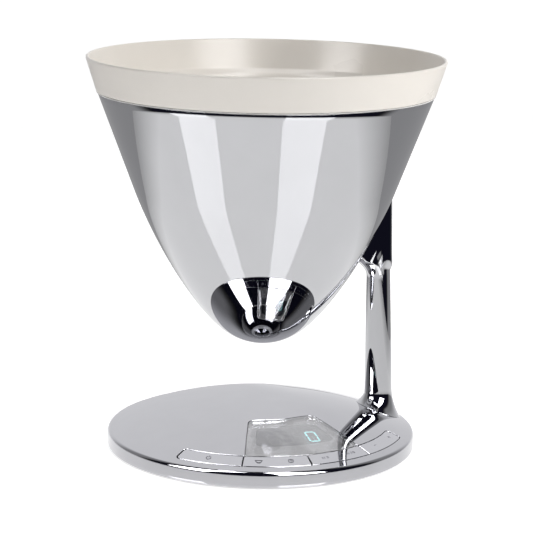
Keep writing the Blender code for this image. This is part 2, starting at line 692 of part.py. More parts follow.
def build_cell_mounts():
    """Spacers at the cell's two ends, the screws through them, and the chassis plate over the cell."""
    half = CELL_WIDTH / 2
    floor = TRAY_Z + TRAY_FLOOR
    for name, sign, low, high in (
        ("cell_foot_spacer", -1, floor + GAP, CELL_Z[0] - GAP),
        ("cell_head_spacer", 1, CELL_Z[1] + GAP, PLATE_Z[0] - GAP),
    ):
        x0, x1 = sorted((sign * CELL_X, sign * 20 * MM))
        holes = [ring_points(M4_HOLE_R, (-sign * x, CELL_Y)) for x in CELL_SCREW_X]
        outline = rectangle(x0, CELL_Y - half, x1, CELL_Y + half, 1.0 * MM)
        plate(name, outline, low, high, STEEL, holes)
    foot_places = [(x, CELL_Y) for x in CELL_SCREW_X]
    head_places = [(-x, CELL_Y) for x in CELL_SCREW_X]
    screws("cell_foot_screw", M4_R, M4_HEAD_R - 0.3 * MM, 10.0 * MM, TRAY_Z - GAP, 0.3 * MM, foot_places)
    screws("cell_head_screw", M4_R, M4_HEAD_R, 10.5 * MM, PLATE_Z[1] + GAP, PLATE_Z[1] + 2.2 * MM, head_places)
    outline = rectangle(-47 * MM, -13 * MM, 47 * MM, 29 * MM, 4.0 * MM)
    holes = [ring_points(M4_HOLE_R, xy) for xy in head_places]
    holes += [ring_points(1.7 * MM, xy) for xy in CHASSIS_SCREWS]
    plate("chassis_plate", outline, *PLATE_Z, STEEL, holes)
    low = PLATE_Z[0] - GAP
    screws("chassis_screw", 1.3 * MM, 2.6 * MM, low + 4.6 * MM, low, low - 1.6 * MM, CHASSIS_SCREWS, 8)


def build_battery_bay():
    """An upturned tub on the tray floor with three cells, their contacts and a hinged door below."""
    floor = TRAY_Z + TRAY_FLOOR + GAP
    wall = 1.2 * MM
    tub = box("battery_box", (-BAY_X - wall, BAY_Y[0] - wall, floor),
              (BAY_X + wall, BAY_Y[1] + wall, floor + 13.0 * MM), BLACK_PLASTIC)
    cut(tub, box("bay_cutter", (-BAY_X, BAY_Y[0], 0.0), (BAY_X, BAY_Y[1], floor + 11.8 * MM)))
    pitch = (BAY_Y[1] - BAY_Y[0]) / 3
    z = floor + 11.4 * MM - AAA_R
    for number in range(3):
        y = BAY_Y[0] + pitch * (number + 0.5)
        turn = Matrix.Translation((0.0, y, z)) @ Matrix.Rotation(math.pi / 2, 4, "Y")
        cylinder(f"battery_cell_{number + 1}", AAA_R, 0.0, AAA_LENGTH, (0.0, 0.0), 16, GREY_PLASTIC, turn)
    for name, side in (("battery_contact_left", -1), ("battery_contact_right", 1)):
        x = side * (BAY_X - 1.2 * MM)
        strip = box(name, (x - 0.6 * MM, BAY_Y[0] + 2 * MM, z - 3.5 * MM),
                    (x + 0.6 * MM, BAY_Y[1] - 2 * MM, z + 3.5 * MM), STEEL)
        bevel = strip.modifiers.new("edges", "BEVEL")
        bevel.width = 0.2 * MM
        bevel.segments = 1
    door = box("battery_door", (-BAY_X + 2.1 * MM, BAY_Y[0] + 2.1 * MM, TRAY_Z),
               (BAY_X - 2.1 * MM, DOOR_HINGE_Y - 0.4 * MM, TRAY_Z + 1.6 * MM), BLACK_PLASTIC)
    cut(door, box("finger_notch", (-6 * MM, BAY_Y[0], TRAY_Z - 1 * MM),
                  (6 * MM, BAY_Y[0] + 5 * MM, TRAY_Z + 0.8 * MM)))


def build_cables():
    cell_end = CELL_X + 1.0 * MM
    tube("cell_cable", [(cell_end, CELL_Y, 9 * MM), (50 * MM, 0, 8 * MM), (50 * MM, -24 * MM, 7 * MM),
                        (38 * MM, -44 * MM, 7.5 * MM)], 1.2 * MM, RUBBER)
    tube("battery_cable", [(-BAY_X - 3 * MM, 45 * MM, 8 * MM), (-48 * MM, 34 * MM, 6 * MM),
                           (-52 * MM, -10 * MM, 6 * MM), (-38 * MM, -44 * MM, 7.5 * MM)], 1.0 * MM, RUBBER)


build_cover()
build_keys()
build_window()
build_display()
build_boards()
build_key_mat()
build_cone()
build_ring_and_bowl()
build_stem()
build_stem_fasteners()
build_tray()
build_load_cell()
build_cell_mounts()
build_battery_bay()
build_cables()
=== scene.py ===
"""The looks of a kitchen scale: a chrome base with a window and four keys, a chrome stem and cone, a cream
bowl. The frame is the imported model's: the disc's centre on the standing plane, keys at -Y, stem at +X."""

import json
import math

import bmesh
import bpy
import numpy as np
from mathutils import Matrix, Vector
from mathutils.geometry import delaunay_2d_cdt


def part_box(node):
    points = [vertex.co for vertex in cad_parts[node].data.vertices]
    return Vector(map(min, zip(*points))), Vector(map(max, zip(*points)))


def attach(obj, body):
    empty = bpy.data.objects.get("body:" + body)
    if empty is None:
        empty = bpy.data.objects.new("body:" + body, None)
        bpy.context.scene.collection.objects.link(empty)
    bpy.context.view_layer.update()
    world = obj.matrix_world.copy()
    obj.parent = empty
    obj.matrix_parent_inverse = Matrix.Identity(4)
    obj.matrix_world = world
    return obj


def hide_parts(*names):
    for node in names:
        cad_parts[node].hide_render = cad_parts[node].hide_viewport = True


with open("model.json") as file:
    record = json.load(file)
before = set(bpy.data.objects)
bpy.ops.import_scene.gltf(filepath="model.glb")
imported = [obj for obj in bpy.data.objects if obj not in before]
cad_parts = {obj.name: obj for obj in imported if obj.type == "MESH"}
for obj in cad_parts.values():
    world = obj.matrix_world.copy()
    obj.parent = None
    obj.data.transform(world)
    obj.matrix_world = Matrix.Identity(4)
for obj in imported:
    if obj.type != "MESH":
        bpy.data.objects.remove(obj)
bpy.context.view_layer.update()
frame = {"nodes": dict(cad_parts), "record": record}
MM = 0.001


def corner(node, high=True):
    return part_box(node)[1 if high else 0] / MM


# Sizes in millimetres, from the frame where a node's box gives them, and angles in degrees
BASE_R = corner("base_cover").x
DOME_R = BASE_R - 2.0
DOME_EDGE_Z, DOME_RISE = 12.0, 21.0
COVER_FOOT_Z = corner("base_cover", False).z
COVER_WALL = 2.2
# The share of the dome's slope that its shading keeps, and where in x that grows to the whole slope
CALM_LEAN, CALM_X = 0.2, (2, 38)
ON_DOME = 0.004
SLOT_INNER_R, SLOT_OUTER_R = 92.0, 103.2
KEY_ANGLE, KEY_GAP, KEY_THICK = 26.9, 0.35, 2.0
KEY_MIDDLE_R = 97.7
KEY_END_GAP = 0.3
KEY_NAMES = ("key_power", "key_bowl_timer", "key_units", "key_plus_minus")
WINDOW_REAR_R, WINDOW_REAR_X, WINDOW_REAR_Y = 44.4, 23.6, -40.4
WINDOW_FRONT_X, WINDOW_FRONT_R = 40.8, 91.8
WINDOW_FRONT_ANGLE, WINDOW_REAR_ANGLE, WINDOW_CORNER_R = 26.4, 17.0, 5.0
# The display's opening: radius and half angle of its front arc, side and rear corner as (x, y, corner radius)
OPENING_FRONT = (77.0, 19.6)
OPENING_SIDE, OPENING_REAR = (28.6, -69.5, 3.0), (21.8, -50.0, 4.0)
# Depths of the mask and the display panel under the dome, and how far the mask reaches past the window
MASK_DEPTH, MASK_THICK, MASK_REACH = COVER_WALL + 0.1, 0.5, 2.5
PANEL_DEPTH, PANEL_THICK, PANEL_INSET = COVER_WALL + 0.8, 1.6, 6.0
DIGIT_WIDTH, DIGIT_HEIGHT, DIGIT_PITCH, DIGIT_BAR = 6.9, 12.2, 9.4, 1.35
DIGIT_CORNER = (10.6, -72.0)
CONE_TIP_Z = corner("cone", False).z
CONE_TOP_Z = corner("cone").z
CONE_TOP_R = 117.2
CONE_WALL = 1.5
NOSE_R, NOSE_ANGLE, NOSE_HANDLE = 46.2, math.radians(38.7), 25.5
WALL_HANDLE, WALL_START_Z, WALL_SLOPE = 43.0, 186.0, 0.375
BOWL_INSET, BOWL_WALL = 2.3, 2.2
RING_Z = (corner("seat_ring", False).z, corner("seat_ring").z)
BAND_FOOT_R, RIM_R, RIM_Z = 118.1, 125.6, corner("bowl").z
STEM_FOOT_X, STEM_TOP_X = 92.0, 86.7
STEM_FOOT_R, STEM_TOP_R = 10.4, 8.2
STEM_LOW_Z, STEM_TOP_Z = 10.0, 200.0
# Where the foot's flare ends, where the web under the cone starts, and where the sides turn flat
FLARE_Z, FLARE_HEIGHT = 17.4, 16.0
WEB_Z, WEB_HEIGHT = 117.0, 13.0
FLAT_OUTER_Z, FLAT_INNER_Z, FLAT_BLEND = 121.0, 130.0, 5.0
FLAT_POWER = 0.32
SEAL_INNER_R, SEAL_OUTER_R = 115.5, 117.8
BAND_WALL = 2.3

# The studio, in metres and degrees. Azimuth 0 is -Y, and the camera looks from VIEW_AZIMUTH.
VIEW_AZIMUTH = -20.1
VIEW_DISTANCE, VIEW_HEIGHT = 1.394, 0.428
TABLE_R, TABLE_CENTRE = 0.53, (-0.08, -0.13)
BACKDROP_R, SHELL_R, FLOOR_R = 6.0, 4.0, 1.6
ROOM_LIGHT, BEYOND_TABLE_LIGHT, STRIP_LIGHT = 0.008, 0.36, 9.0
# By angle from the camera's side: the wall's light grows over WALL_TURN, the room ends over ROOM_TURN
WALL_LIGHT, WALL_TURN, ROOM_TURN = (0.30, 0.85), (112, 150), (84, 104)
# Above the ceiling's range of elevation all is dark, and below the table's edge lies the floor beyond it
CEILING, TABLE_DIP = (52, 66), -3
# Two strip lights over the camera, as ranges of azimuth from the camera's side
STRIPS = ((-71.0, -42.0), (14.0, 50.0))
STRIP_LOW = 20.0


# ---------------------------------------------------------------- camera and studio

def make_camera():
    """The viewpoint: in front and a little left, above the rim, with a long lens."""
    pitch, heading, roll = math.radians(12.09), math.radians(20.195), math.radians(0.98)
    turn = math.radians(VIEW_AZIMUTH)
    level = math.cos(pitch)
    ahead = Vector((math.sin(heading) * level, math.cos(heading) * level, -math.sin(pitch)))
    side = ahead.cross(Vector((0, 0, 1))).normalized()
    above = side.cross(ahead)
    right = side * math.cos(roll) + above * math.sin(roll)
    up = above * math.cos(roll) - side * math.sin(roll)
    data = bpy.data.cameras.new("camera")
    data.lens = 135.8
    data.sensor_width = 36.0
    camera = bpy.data.objects.new("camera", data)
    matrix = Matrix((right, up, -ahead)).transposed().to_4x4()
    matrix.translation = (VIEW_DISTANCE * math.sin(turn), -VIEW_DISTANCE * math.cos(turn), VIEW_HEIGHT)
    camera.matrix_world = matrix
    bpy.context.scene.collection.objects.link(camera)
    bpy.context.scene.camera = camera


def only_seen_by(obj, *rays):
    for ray in ("camera", "diffuse", "glossy", "transmission", "volume_scatter", "shadow"):
        setattr(obj, "visible_" + ray, ray in rays)


def emission_material(name, colour=(1, 1, 1), strength=1.0, attribute=None):
    material = bpy.data.materials.new(name)
    material.use_nodes = True
    nodes, links = material.node_tree.nodes, material.node_tree.links
    nodes.clear()
    glow = nodes.new("ShaderNodeEmission")
    glow.inputs["Color"].default_value = (*colour, 1)
    glow.inputs["Strength"].default_value = strength
    if attribute:
        paint = nodes.new("ShaderNodeAttribute")
        paint.attribute_name = attribute
        links.new(paint.outputs["Color"], glow.inputs["Color"])
    links.new(glow.outputs[0], nodes.new("ShaderNodeOutputMaterial").inputs["Surface"])
    return material


def soft_step(value, low, high):
    t = min(1.0, max(0.0, (value - low) / (high - low)))
    return t * t * (3 - 2 * t)


def mix(a, b, t):
    return a + (b - a) * t


def studio_light(azimuth, elevation):
    """How bright the studio is in a direction: white behind, dark round the camera but for two strips."""
    turn = (azimuth - VIEW_AZIMUTH + 180) % 360 - 180
    wall = mix(*WALL_LIGHT, soft_step(abs(turn), *WALL_TURN))
    if elevation < TABLE_DIP:
        wall = BEYOND_TABLE_LIGHT
    value = mix(ROOM_LIGHT, wall, soft_step(abs(turn), *ROOM_TURN))
    value = mix(value, ROOM_LIGHT, soft_step(elevation, *CEILING))
    if elevation > STRIP_LOW and any(low < turn < high for low, high in STRIPS):
        value = STRIP_LIGHT
    return value


def make_studio():
    scene = bpy.context.scene
    scene.view_settings.view_transform = "Standard"
    world = bpy.data.worlds.new("ambient")
    world.use_nodes = True
    world.node_tree.nodes["Background"].inputs["Color"].default_value = (1.0, 0.99, 0.985, 1)
    world.node_tree.nodes["Background"].inputs["Strength"].default_value = 0.27
    scene.world = world

    bm = bmesh.new()
    bmesh.ops.create_uvsphere(bm, u_segments=48, v_segments=24, radius=BACKDROP_R)
    backdrop = add_object("backdrop", bm, emission_material("backdrop_white", strength=1.02))
    only_seen_by(backdrop, "camera")

    shell = make_shell()
    only_seen_by(shell, "glossy", "transmission")

    bm = bmesh.new()
    bmesh.ops.create_circle(bm, cap_ends=True, segments=128, radius=FLOOR_R)
    floor = add_object("floor", bm, floor_material("floor_white", 0.6, 0.86, 0.55, 0.86))
    only_seen_by(floor, "camera", "diffuse", "shadow")
    bm = bmesh.new()
    bmesh.ops.create_circle(bm, cap_ends=True, segments=128, radius=TABLE_R)
    bmesh.ops.translate(bm, verts=bm.verts, vec=(*TABLE_CENTRE, 0.0))
    # Painted shade: the table's colour darkens from 0.86 to 0.12 at its edge, standing in for less light on
    # the floor further out in the chrome's reflections
    table = add_object("table", bm, floor_material("table_gloss", 0.04, 0.86, 0.35, 0.12))
    only_seen_by(table, "glossy", "transmission")

    area_light("key_light", (1.65, -0.75, 1.05), 1.2, 22.0, (1.0, 0.985, 0.96))
    area_light("top_light", (-0.3, -0.6, 2.4), 2.0, 17.0, (1.0, 1.0, 1.0))


def make_shell():
    """The surroundings that the chrome mirrors, painted face by face on a sphere."""
    step = 1.5
    columns, rows = round(360 / step), round(180 / step)
    bm = bmesh.new()
    paint = bm.loops.layers.float_color.new("studio")
    grid = []
    for j in range(rows + 1):
        elevation = math.radians(-90 + j * step)
        ring = []
        for i in range(columns):
            azimuth = math.radians(-180 + i * step)
            ring.append(bm.verts.new((SHELL_R * math.sin(azimuth) * math.cos(elevation),
                                      -SHELL_R * math.cos(azimuth) * math.cos(elevation),
                                      SHELL_R * math.sin(elevation))))
        grid.append(ring)
    for j in range(rows):
        for i in range(columns):
            k = (i + 1) % columns
            face = bm.faces.new((grid[j][i], grid[j][k], grid[j + 1][k], grid[j + 1][i]))
            level = studio_light(-180 + (i + 0.5) * step, -90 + (j + 0.5) * step)
            for loop in face.loops:
                loop[paint] = (level, level, max(level * 1.02, 0.016), 1)
    return add_object("studio_shell", bm, emission_material("studio_paint", attribute="studio"))


def floor_material(name, roughness, tint, glow, edge_shade_tone):
    """A pale floor whose tone wanders a little and fades to another tone at the table's edge. For the table
    this is painted shade: it darkens towards its edge to stand in for less light on the floor further out, as
    the chrome mirrors it.
    """
    material, shader = plain_material(name)
    nodes, links = material.node_tree.nodes, material.node_tree.links
    shader.inputs["Roughness"].default_value = roughness
    shader.inputs["Emission Color"].default_value = (1, 1, 1, 1)
    shader.inputs["Emission Strength"].default_value = glow
    noise = nodes.new("ShaderNodeTexNoise")
    noise.inputs["Scale"].default_value = 3.0
    tone = nodes.new("ShaderNodeMapRange")
    tone.inputs["To Min"].default_value = 0.98
    tone.inputs["To Max"].default_value = 1.02
    links.new(noise.outputs["Fac"], tone.inputs["Value"])
    place = nodes.new("ShaderNodeTexCoord")
    away = nodes.new("ShaderNodeVectorMath")
    away.operation = "DISTANCE"
    away.inputs[1].default_value = (*TABLE_CENTRE, 0.0)
    links.new(place.outputs["Object"], away.inputs[0])
    # Painted shade: the base colour moves to the edge tone over the table's outer 0.16 m, darkening it where
    # less light would fall
    fade = nodes.new("ShaderNodeMapRange")
    fade.inputs["From Min"].default_value = TABLE_R - 0.16
    fade.inputs["From Max"].default_value = TABLE_R
    fade.inputs["To Min"].default_value = tint
    fade.inputs["To Max"].default_value = edge_shade_tone
    links.new(away.outputs["Value"], fade.inputs["Value"])
    mixed = nodes.new("ShaderNodeMath")
    mixed.operation = "MULTIPLY"
    links.new(tone.outputs[0], mixed.inputs[0])
    links.new(fade.outputs[0], mixed.inputs[1])
    links.new(mixed.outputs[0], shader.inputs["Base Color"])
    return material


def area_light(name, place, size, power, colour):
    data = bpy.data.lights.new(name, "AREA")
    data.shape = "DISK"
    data.size = size
    data.energy = power
    data.color = colour
    light = bpy.data.objects.new(name, data)
    light.location = place
    aim = Vector((0, 0, 0.15)) - Vector(place)
    light.rotation_euler = aim.to_track_quat("-Z", "Y").to_euler()
    light.visible_glossy = False
    light.visible_camera = False
    bpy.context.scene.collection.objects.link(light)


# ---------------------------------------------------------------- materials

def plain_material(name):
    material = bpy.data.materials.new(name)
    material.use_nodes = True
    return material, material.node_tree.nodes["Principled BSDF"]


def finish_material(name, colour, roughness, metallic=0.0, spread=0.03, scale=60.0, bump=0.0,
                    bump_scale=900.0, stretch=(1, 1, 1), speckle=None, **sockets):
    """A surface whose colour and roughness wander a little, with a fine relief. Roughness is (low, high)."""
    material, shader = plain_material(name)
    nodes, links = material.node_tree.nodes, material.node_tree.links
    place = nodes.new("ShaderNodeTexCoord")
    scaled = nodes.new("ShaderNodeMapping")
    scaled.inputs["Scale"].default_value = stretch
    links.new(place.outputs["Object"], scaled.inputs["Vector"])

    def noise(size, detail, offset):
        texture = nodes.new("ShaderNodeTexNoise")
        texture.noise_dimensions = "4D"
        texture.inputs["W"].default_value = offset
        texture.inputs["Scale"].default_value = size
        texture.inputs["Detail"].default_value = detail
        links.new(scaled.outputs[0], texture.inputs["Vector"])
        return texture.outputs["Fac"]

    ramp = nodes.new("ShaderNodeValToRGB")
    ramp.color_ramp.elements[0].position = 0.3
    ramp.color_ramp.elements[1].position = 0.7
    ramp.color_ramp.elements[0].color = (*[c * (1 - spread) for c in colour], 1)
    ramp.color_ramp.elements[1].color = (*[min(1.0, c * (1 + spread)) for c in colour], 1)
    links.new(noise(scale, 4.0, 0.0), ramp.inputs["Fac"])
    tone = ramp.outputs["Color"]
    if speckle:
        tone = add_speckle(nodes, links, scaled, tone, speckle)
    links.new(tone, shader.inputs["Base Color"])
    rough = nodes.new("ShaderNodeMapRange")
    rough.inputs["From Min"].default_value = 0.3
    rough.inputs["From Max"].default_value = 0.7
    rough.inputs["To Min"].default_value = roughness[0]
    rough.inputs["To Max"].default_value = roughness[1]
    links.new(noise(scale * 0.4, 3.0, 2.0), rough.inputs["Value"])
    links.new(rough.outputs[0], shader.inputs["Roughness"])
    if bump:
        relief = nodes.new("ShaderNodeBump")
        relief.inputs["Strength"].default_value = bump
        relief.inputs["Distance"].default_value = 0.0001
        links.new(noise(bump_scale, 2.0, 5.0), relief.inputs["Height"])
        links.new(relief.outputs[0], shader.inputs["Normal"])
    shader.inputs["Metallic"].default_value = metallic
    for key, value in sockets.items():
        shader.inputs[key.replace("_", " ")].default_value = value
    return material


def add_speckle(nodes, links, scaled, tone, speckle):
    """Scatters small spots of another colour over a surface: (colour, spots per metre, share)."""
    colour, size, share = speckle
    cells = nodes.new("ShaderNodeTexVoronoi")
    cells.inputs["Scale"].default_value = size
    links.new(scaled.outputs[0], cells.inputs["Vector"])
    near = nodes.new("ShaderNodeMapRange")
    near.inputs["From Min"].default_value = share
    near.inputs["From Max"].default_value = share * 0.6
    links.new(cells.outputs["Distance"], near.inputs["Value"])
    spots = nodes.new("ShaderNodeMix")
    spots.data_type = "RGBA"
    spots.inputs["B"].default_value = (*colour, 1)
    links.new(near.outputs[0], spots.inputs["Factor"])
    links.new(tone, spots.inputs["A"])
    return spots.outputs["Result"]


def make_materials():
    """Every material by the name of its slot in the model, and a few that only this scene has."""
    return {
        "chrome": finish_material(
            "chrome", (0.555, 0.558, 0.575), (0.012, 0.03), 1.0,
            spread=0.012, scale=40.0, bump=0.015, bump_scale=140.0),
        "base_chrome": finish_material(
            "chrome_base", (0.545, 0.545, 0.57), (0.02, 0.05), 1.0,
            spread=0.015, scale=55.0, bump=0.02, bump_scale=160.0),
        "key_chrome": finish_material(
            "key_chrome", (0.60, 0.60, 0.63), (0.03, 0.07), 1.0,
            spread=0.015, scale=90.0, bump=0.03, bump_scale=300.0),
        "cream": finish_material(
            "cream_plastic", (0.80, 0.765, 0.715), (0.26, 0.36),
            spread=0.012, scale=35.0, bump=0.10, bump_scale=1800.0),
        "seal": finish_material(
            "seal_silicone", (0.72, 0.72, 0.71), (0.5, 0.65),
            spread=0.05, scale=120.0, bump=0.2, bump_scale=2500.0),
        "rubber": finish_material(
            "rubber", (0.045, 0.045, 0.048), (0.65, 0.85),
            spread=0.15, scale=120.0, bump=0.4, bump_scale=2500.0),
        "window": finish_material(
            "window_pane", (0.80, 0.80, 0.815), (0.01, 0.03), 1.0,
            spread=0.01, scale=50.0, bump=0.01, bump_scale=200.0, Alpha=0.42),
        "grey_plastic": finish_material(
            "grey_plastic", (0.56, 0.56, 0.565), (0.65, 0.8),
            spread=0.02, scale=200.0, bump=0.2, bump_scale=3000.0),
        "display": finish_material(
            "display_panel", (0.09, 0.092, 0.095), (0.5, 0.65),
            spread=0.05, scale=400.0, bump=0.05, bump_scale=2000.0),
        "circuit_board": finish_material(
            "circuit_board", (0.02, 0.17, 0.08), (0.3, 0.45),
            spread=0.12, scale=300.0, bump=0.3, bump_scale=1200.0, speckle=((0.60, 0.52, 0.25), 350.0, 0.16)),
        "black_plastic": finish_material(
            "black_plastic", (0.03, 0.03, 0.034), (0.42, 0.6),
            spread=0.15, scale=150.0, bump=0.5, bump_scale=3500.0),
        "steel": finish_material(
            "zinc_steel", (0.52, 0.53, 0.55), (0.25, 0.42), 1.0,
            spread=0.08, scale=180.0, bump=0.3, bump_scale=1500.0, stretch=(1, 6, 1)),
        "aluminium": finish_material(
            "milled_aluminium", (0.70, 0.71, 0.73), (0.2, 0.35), 1.0,
            spread=0.05, scale=250.0, bump=0.4, bump_scale=1800.0, stretch=(8, 1, 1)),
        "battery": finish_material(
            "battery_sleeve", (0.18, 0.24, 0.33), (0.2, 0.3), 0.3,
            spread=0.08, scale=120.0, bump=0.1),
        "cable": finish_material(
            "cable_sleeve", (0.05, 0.05, 0.055), (0.5, 0.7),
            spread=0.1, scale=200.0, bump=0.3, bump_scale=2500.0),
        "print": finish_material(
            "key_print", (0.10, 0.10, 0.12), (0.4, 0.6),
            spread=0.15, scale=600.0, bump=0.2, bump_scale=3000.0),
        "unlit": finish_material(
            "unlit_segment", (0.15, 0.155, 0.155), (0.25, 0.35),
            spread=0.05, scale=400.0, bump=0.05, bump_scale=2000.0),
        "lit": finish_material(
            "lit_segment", (0.35, 0.80, 0.82), (0.3, 0.4),
            spread=0.05, scale=500.0, bump=0.05, bump_scale=2000.0,
            Emission_Color=(0.42, 0.95, 0.97, 1), Emission_Strength=1.3),
    }


# ---------------------------------------------------------------- mesh helpers

def add_object(name, bm, material):
    mesh = bpy.data.meshes.new(name)
    bm.to_mesh(mesh)
    bm.free()
    mesh.materials.append(material)
    obj = bpy.data.objects.new(name, mesh)
    bpy.context.scene.collection.objects.link(obj)
    return obj


def finish_piece(name, bm, material, body, replaced=(), dome_normals=False):
    """Turns a bmesh in millimetres into a smooth piece that rides on a body and stands for CAD nodes."""
    bmesh.ops.recalc_face_normals(bm, faces=bm.faces)
    bmesh.ops.scale(bm, vec=(MM, MM, MM), verts=bm.verts)
    obj = add_object(name, bm, MATERIALS[material])
    obj.data.shade_smooth()
    if dome_normals:
        set_dome_normals(obj.data)
    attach(obj, body)
    if replaced:
        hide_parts(*replaced)
    return obj


def set_dome_normals(mesh):
    """Gives points on the dome a smooth normal: the true one by the stem, elsewhere one that leans less, so
    the base in front doesn't mirror the cone."""
    normals = []
    for vertex in mesh.vertices:
        x, y, z = vertex.co / MM
        if abs(z - dome_z(math.hypot(x, y))) < ON_DOME:
            lean = 2 * DOME_RISE / DOME_R**2 * mix(CALM_LEAN, 1.0, soft_step(x, *CALM_X))
            normals.append(Vector((x * lean, y * lean, 1)).normalized())
        else:
            normals.append(vertex.normal.copy())
    mesh.normals_split_custom_set_from_vertices(normals)


def revolve(name, profile, steps, material, body, replaced=()):
    """A turned piece from a closed profile, or one that starts and ends on the axis."""
    bm = bmesh.new()
    rings = []
    for radius, z in profile:
        if radius < 1e-5:
            rings.append([bm.verts.new((0, 0, z))])
        else:
            angles = [math.tau * i / steps for i in range(steps)]
            rings.append([bm.verts.new((radius * math.cos(a), radius * math.sin(a), z)) for a in angles])
    pairs = list(zip(rings, rings[1:]))
    if len(rings[0]) > 1:
        pairs.append((rings[-1], rings[0]))
    for low, high in pairs:
        bridge(bm, low, high)
    return finish_piece(name, bm, material, body, replaced)


def bridge(bm, a, b):
    """Faces between two closed rings, one of which may be a single point."""
    count = max(len(a), len(b))
    for i in range(count):
        j = (i + 1) % count
        if len(a) == 1:
            bm.faces.new((a[0], b[j], b[i]))
        elif len(b) == 1:
            bm.faces.new((a[i], a[j], b[0]))
        else:
            bm.faces.new((a[i], a[j], b[j], b[i]))


def polar(radius, degrees):
    angle = math.radians(degrees)
    return Vector((radius * math.sin(angle), -radius * math.cos(angle)))


def arc(radius, start, end, step=1.0):
    """Points on an arc about the disc's centre, about step mm apart."""
    count = max(2, round(abs(math.radians(end - start)) * radius / step))
    return [polar(radius, start + (end - start) * i / count) for i in range(count + 1)]


def dome_z(radius):
    return DOME_EDGE_Z + DOME_RISE * (1 - (radius / DOME_R) ** 2)


def densify(outline, step):
    """Adds points so that no edge of a closed outline is longer than step."""
    points = []
    for a, b in zip(outline, [*outline[1:], outline[0]]):
        count = max(1, math.ceil((b - a).length / step))
        points += [a.lerp(b, i / count) for i in range(count)]
    return points


def offset(outline, inset):
    """A closed outline, counter-clockwise, moved inwards by inset."""
    moved = []
    for i, here in enumerate(outline):
        before = (here - outline[i - 1]).normalized()
        after = (outline[(i + 1) % len(outline)] - here).normalized()
        inwards = Vector((-before.y - after.y, before.x + after.x)).normalized()
        moved.append(here + inwards * (inset / max(0.5, inwards.dot(Vector((-before.y, before.x))))))
    return moved


def round_corners(corners, steps=8):
    """A closed outline through (x, y, corner radius)."""
    outline = []
    for i, (x, y, radius) in enumerate(corners):
        here = Vector((x, y))
        if radius == 0:
            outline.append(here)
            continue
        before = (Vector(corners[i - 1][:2]) - here).normalized()
        after = (Vector(corners[(i + 1) % len(corners)][:2]) - here).normalized()
        half = before.angle(after) / 2
        reach = radius / math.tan(half)
        centre = here + (before + after).normalized() * (radius / math.sin(half))
        first, last = here + before * reach - centre, here + after * reach - centre
        outline += [centre + first.lerp(last, k / steps).normalized() * radius for k in range(steps + 1)]
    return outline


def inside(points, outline):
    """Which of the points lie in a closed outline."""
    px, py = points[:, 0], points[:, 1]
    found = np.zeros(len(points), bool)
    for a, b in zip(outline, [*outline[1:], outline[0]]):
        crosses = (a.y > py) != (b.y > py)
        if abs(b.y - a.y) > 1e-12:
            found ^= crosses & (px < (b.x - a.x) * (py - a.y) / (b.y - a.y) + a.x)
    return found


def fill_surface(bm, rings, outlines, drop, spacing):
    """Fills the region inside the first outline and outside the others, on the dome less a drop."""
    flat = [p for outline in outlines for p in outline]
    verts = [v for ring in rings for v in ring]
    edges, start = [], 0
    for outline in outlines:
        count = len(outline)
        edges += [(start + i, start + (i + 1) % count) for i in range(count)]
        start += count
    reach = max(p.length for p in outlines[0])
    row = spacing * math.sqrt(3) / 2
    lattice = [(i * spacing + (j % 2) * spacing / 2, j * row)
               for j in range(-math.ceil(reach / row), math.ceil(reach / row) + 1)
               for i in range(-math.ceil(reach / spacing), math.ceil(reach / spacing) + 1)]
    lattice = np.array(lattice)
    keep = inside(lattice, outlines[0])
    for hole in outlines[1:]:
        keep &= ~inside(lattice, hole)
    border = np.array([tuple(p) for p in flat])
    lattice = lattice[keep]
    if len(lattice):
        gap = np.array([np.min(np.hypot(*(border - p).T)) for p in lattice])
        lattice = lattice[gap > spacing * 0.45]
    inner = [Vector(p) for p in lattice]
    verts += [bm.verts.new((p.x, p.y, dome_z(p.length) - drop)) for p in inner]
    coords, _, faces, origin, _, _ = delaunay_2d_cdt(flat + inner, edges, [], 0, 1e-7)
    centres = np.array([[sum(coords[k][axis] for k in face) / 3 for axis in (0, 1)] for face in faces])
    wanted = inside(centres, outlines[0])
    for hole in outlines[1:]:
        wanted &= ~inside(centres, hole)
    for face, good in zip(faces, wanted):
        if good and all(origin[k] for k in face):
            bm.faces.new([verts[origin[k][0]] for k in face])


def ring_on_dome(bm, outline, drop):
    return [bm.verts.new((p.x, p.y, dome_z(p.length) - drop)) for p in outline]


def rim_rows(edge, thick, steps=5):
    """(inset, drop) down a rounded edge and the side below it."""
    rows = []
    for k in range(steps + 1):
        angle = math.pi / 2 * k / steps
        rows.append((edge * (1 - math.sin(angle)), edge * (1 - math.cos(angle))))
    return [*rows, (0.0, thick)]


def dome_panel(name, outline, top, thick, edge, material, body, replaced, spacing=3.0, holes=()):
    """A plate that follows the dome at a depth top under it, with rounded upper edges and openings."""
    bm = bmesh.new()
    tops, bottoms, top_lines, bottom_lines = [], [], [], []
    for number, line in enumerate((outline, *holes)):
        sign = 1 if number == 0 else -1
        rows = [(offset(line, sign * inset), top + drop) for inset, drop in rim_rows(edge, thick)]
        rings = [ring_on_dome(bm, points, drop) for points, drop in rows]
        for a, b in zip(rings, rings[1:]):
            bridge(bm, a, b)
        tops.append(rings[0])
        top_lines.append(rows[0][0])
        bottoms.append(rings[-1])
        bottom_lines.append(rows[-1][0])
    fill_surface(bm, tops, top_lines, top, spacing)
    fill_surface(bm, bottoms, bottom_lines, top + thick, spacing * 2)
    return finish_piece(name, bm, material, body, replaced, dome_normals=top == 0)


# ---------------------------------------------------------------- base cover, keys and window

def sector_outline(inner, outer, start, end, radii):
    """A key or slot seen from above, with rounded corners: radii at the start and at the end."""
    middle = (inner + outer) / 2
    scale = math.radians(1) * middle
    u0, u1 = start * scale, end * scale
    corners = [(u0, -outer, radii[0]), (u1, -outer, radii[1]), (u1, -inner, radii[1]), (u0, -inner, radii[0])]
    flat = densify(round_corners(corners, 6), 1.0)
    return [polar(-p.y, p.x / scale) for p in flat]


